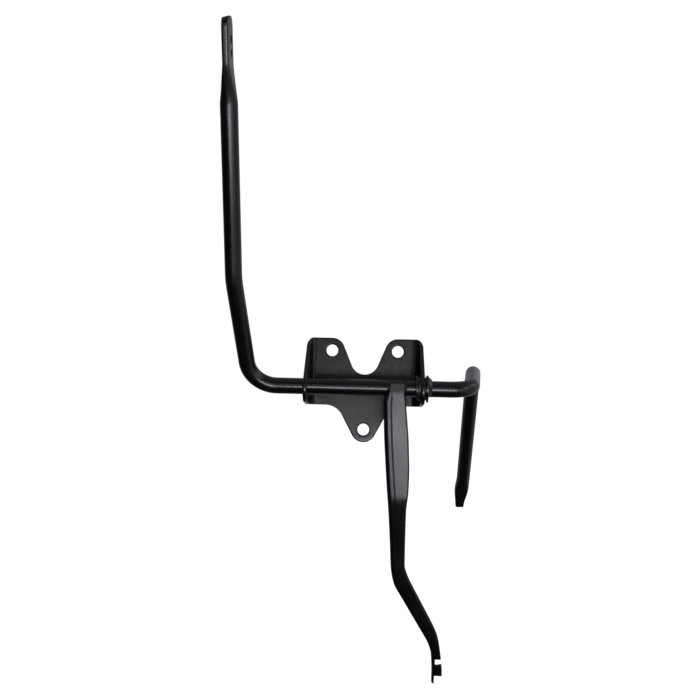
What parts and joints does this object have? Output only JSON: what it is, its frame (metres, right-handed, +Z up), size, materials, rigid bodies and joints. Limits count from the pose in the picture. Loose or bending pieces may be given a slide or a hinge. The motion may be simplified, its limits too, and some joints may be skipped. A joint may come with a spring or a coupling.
{
  "type": "crank lever on bracket",
  "caption": "Bent round-bar crank lever pivoting in a folded three-lobe bracket, with a welded channel arm that ends in a cable notch.",
  "frame": {"origin": "midway between the two upper bolt holes, on the bracket's back face", "axes": "+Z up, +X along the pivot shaft toward the side with the lower lever, +Y from the bracket into the panel it is bolted to"},
  "size_m": [0.1639, 0.2513, 0.3887],
  "materials": {
    "bracket_coat": "satin black electrocoat on pressed steel",
    "bar_coat": "satin black electrocoat on steel bar",
    "arm_coat": "satin black electrocoat on pressed steel",
    "weld_coat": "satin black electrocoat over rippled weld",
    "bush_nylon": "black moulded bearing plastic",
    "ring_steel": "black phosphated spring steel"
  },
  "bodies": {
    "bracket": {"mounting_bracket": "bracket_coat", "left_bushing": "bush_nylon", "right_bushing": "bush_nylon", "thrust_washer": "ring_steel"},
    "crank": {"crank_rod": "bar_coat", "channel_arm": "arm_coat", "arm_weld_beads": "weld_coat", "inner_retaining_ring": "ring_steel", "outer_retaining_clip": "ring_steel"}
  },
  "joints": [
    {"name": "crank_pivot", "type": "hinge", "parent": "bracket", "child": "crank", "pos_m": [0, -0.0255, -0.024], "axis": [1, 0, 0], "range_deg": [-20, 25]}
  ]
}
